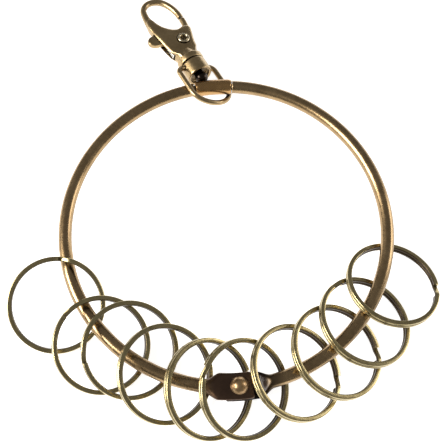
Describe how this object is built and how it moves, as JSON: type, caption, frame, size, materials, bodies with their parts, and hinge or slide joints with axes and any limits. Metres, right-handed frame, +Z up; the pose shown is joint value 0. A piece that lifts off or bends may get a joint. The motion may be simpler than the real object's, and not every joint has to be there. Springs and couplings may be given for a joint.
{
  "type": "key hoop with split rings",
  "caption": "Hinged round metal key hoop carrying flat-wire split rings and a swivel snap clasp on a wire bail, in an antique brass finish.",
  "frame": {"origin": "on the table under the middle of the object lying flat", "axes": "+Z up from the table, +Y from the hinge towards the clasp, +X to the right"},
  "size_m": [0.1254, 0.147, 0.0175],
  "materials": {
    "hoop": "satin antique bronze",
    "hinge_rivet": "polished antique brass",
    "sleeve": "satin antique bronze",
    "rings": "antique brass, worn bright on its edges",
    "clasp": "polished antique brass, dark in its recesses",
    "swivel_pin": "dark oxidised brass",
    "spring": "plain spring wire"
  },
  "bodies": {
    "hoop_left": {"hoop_left_arm": "hoop", "closure_sleeve": "sleeve", "hinge_rivet": "hinge_rivet"},
    "hoop_right": {"hoop_right_arm": "hoop"},
    "ring_01": {"split_ring_01": "rings"},
    "ring_02": {"split_ring_02": "rings"},
    "ring_03": {"split_ring_03": "rings"},
    "ring_04": {"split_ring_04": "rings"},
    "ring_05": {"split_ring_05": "rings"},
    "ring_06": {"split_ring_06": "rings"},
    "ring_07": {"split_ring_07": "rings"},
    "ring_08": {"split_ring_08": "rings"},
    "ring_09": {"split_ring_09": "rings"},
    "ring_10": {"split_ring_10": "rings"},
    "bail": {"swivel_bail": "clasp"},
    "hook": {"hook_body": "clasp", "gate_rivet": "clasp", "swivel_pin": "swivel_pin", "gate_spring": "spring"},
    "gate": {"hook_gate": "clasp"}
  },
  "joints": [
    {"name": "hoop_swing", "type": "hinge", "parent": "hoop_left", "child": "hoop_right", "pos_m": [0.00404, -0.05832, 0.006], "axis": [0, 0, 1], "range_deg": [-50, 0]},
    {"name": "ring_06_slide", "type": "hinge", "parent": "hoop_left", "child": "ring_06", "pos_m": [0.00011, -0.01048, 0.006], "axis": [0, 0, 1], "range_deg": [-6.5, 0]},
    {"name": "ring_05_slide", "type": "hinge", "parent": "ring_06", "child": "ring_05", "pos_m": [0.00011, -0.01048, 0.006], "axis": [0, 0, 1], "range_deg": [-10, 0]},
    {"name": "ring_04_slide", "type": "hinge", "parent": "ring_05", "child": "ring_04", "pos_m": [0.00011, -0.01048, 0.006], "axis": [0, 0, 1], "range_deg": [-10, 0]},
    {"name": "ring_03_slide", "type": "hinge", "parent": "ring_04", "child": "ring_03", "pos_m": [0.00011, -0.01048, 0.006], "axis": [0, 0, 1], "range_deg": [-10, 0]},
    {"name": "ring_02_slide", "type": "hinge", "parent": "ring_03", "child": "ring_02", "pos_m": [0.00011, -0.01048, 0.006], "axis": [0, 0, 1], "range_deg": [-10, 0]},
    {"name": "ring_01_slide", "type": "hinge", "parent": "ring_02", "child": "ring_01", "pos_m": [0.00011, -0.01048, 0.006], "axis": [0, 0, 1], "range_deg": [-25, 0]},
    {"name": "ring_07_slide", "type": "hinge", "parent": "hoop_right", "child": "ring_07", "pos_m": [0.00011, -0.01048, 0.006], "axis": [0, 0, 1], "range_deg": [0, 10]},
    {"name": "ring_08_slide", "type": "hinge", "parent": "ring_07", "child": "ring_08", "pos_m": [0.00011, -0.01048, 0.006], "axis": [0, 0, 1], "range_deg": [0, 10]},
    {"name": "ring_09_slide", "type": "hinge", "parent": "ring_08", "child": "ring_09", "pos_m": [0.00011, -0.01048, 0.006], "axis": [0, 0, 1], "range_deg": [0, 10]},
    {"name": "ring_10_slide", "type": "hinge", "parent": "ring_09", "child": "ring_10", "pos_m": [0.00011, -0.01048, 0.006], "axis": [0, 0, 1], "range_deg": [0, 45]},
    {"name": "bail_swing", "type": "hinge", "parent": "hoop_left", "child": "bail", "pos_m": [-0.00574, 0.03716, 0.006], "axis": [0.9925, 0.1219, 0], "range_deg": [0, 55]},
    {"name": "hook_swivel", "type": "hinge", "parent": "bail", "child": "hook", "pos_m": [-0.01023, 0.04493, 0.00489], "axis": [-0.4985, 0.8634, -0.0785], "continuous": true},
    {"name": "gate_press", "type": "hinge", "parent": "hook", "child": "gate", "pos_m": [-0.01456, 0.05519, 0.00378], "axis": [0.1117, 0.1537, 0.9818], "range_deg": [0, 35], "stiffness_Nm_per_rad": 0.01, "springref_deg": -28.65, "deforming": ["gate_spring"]}
  ]
}
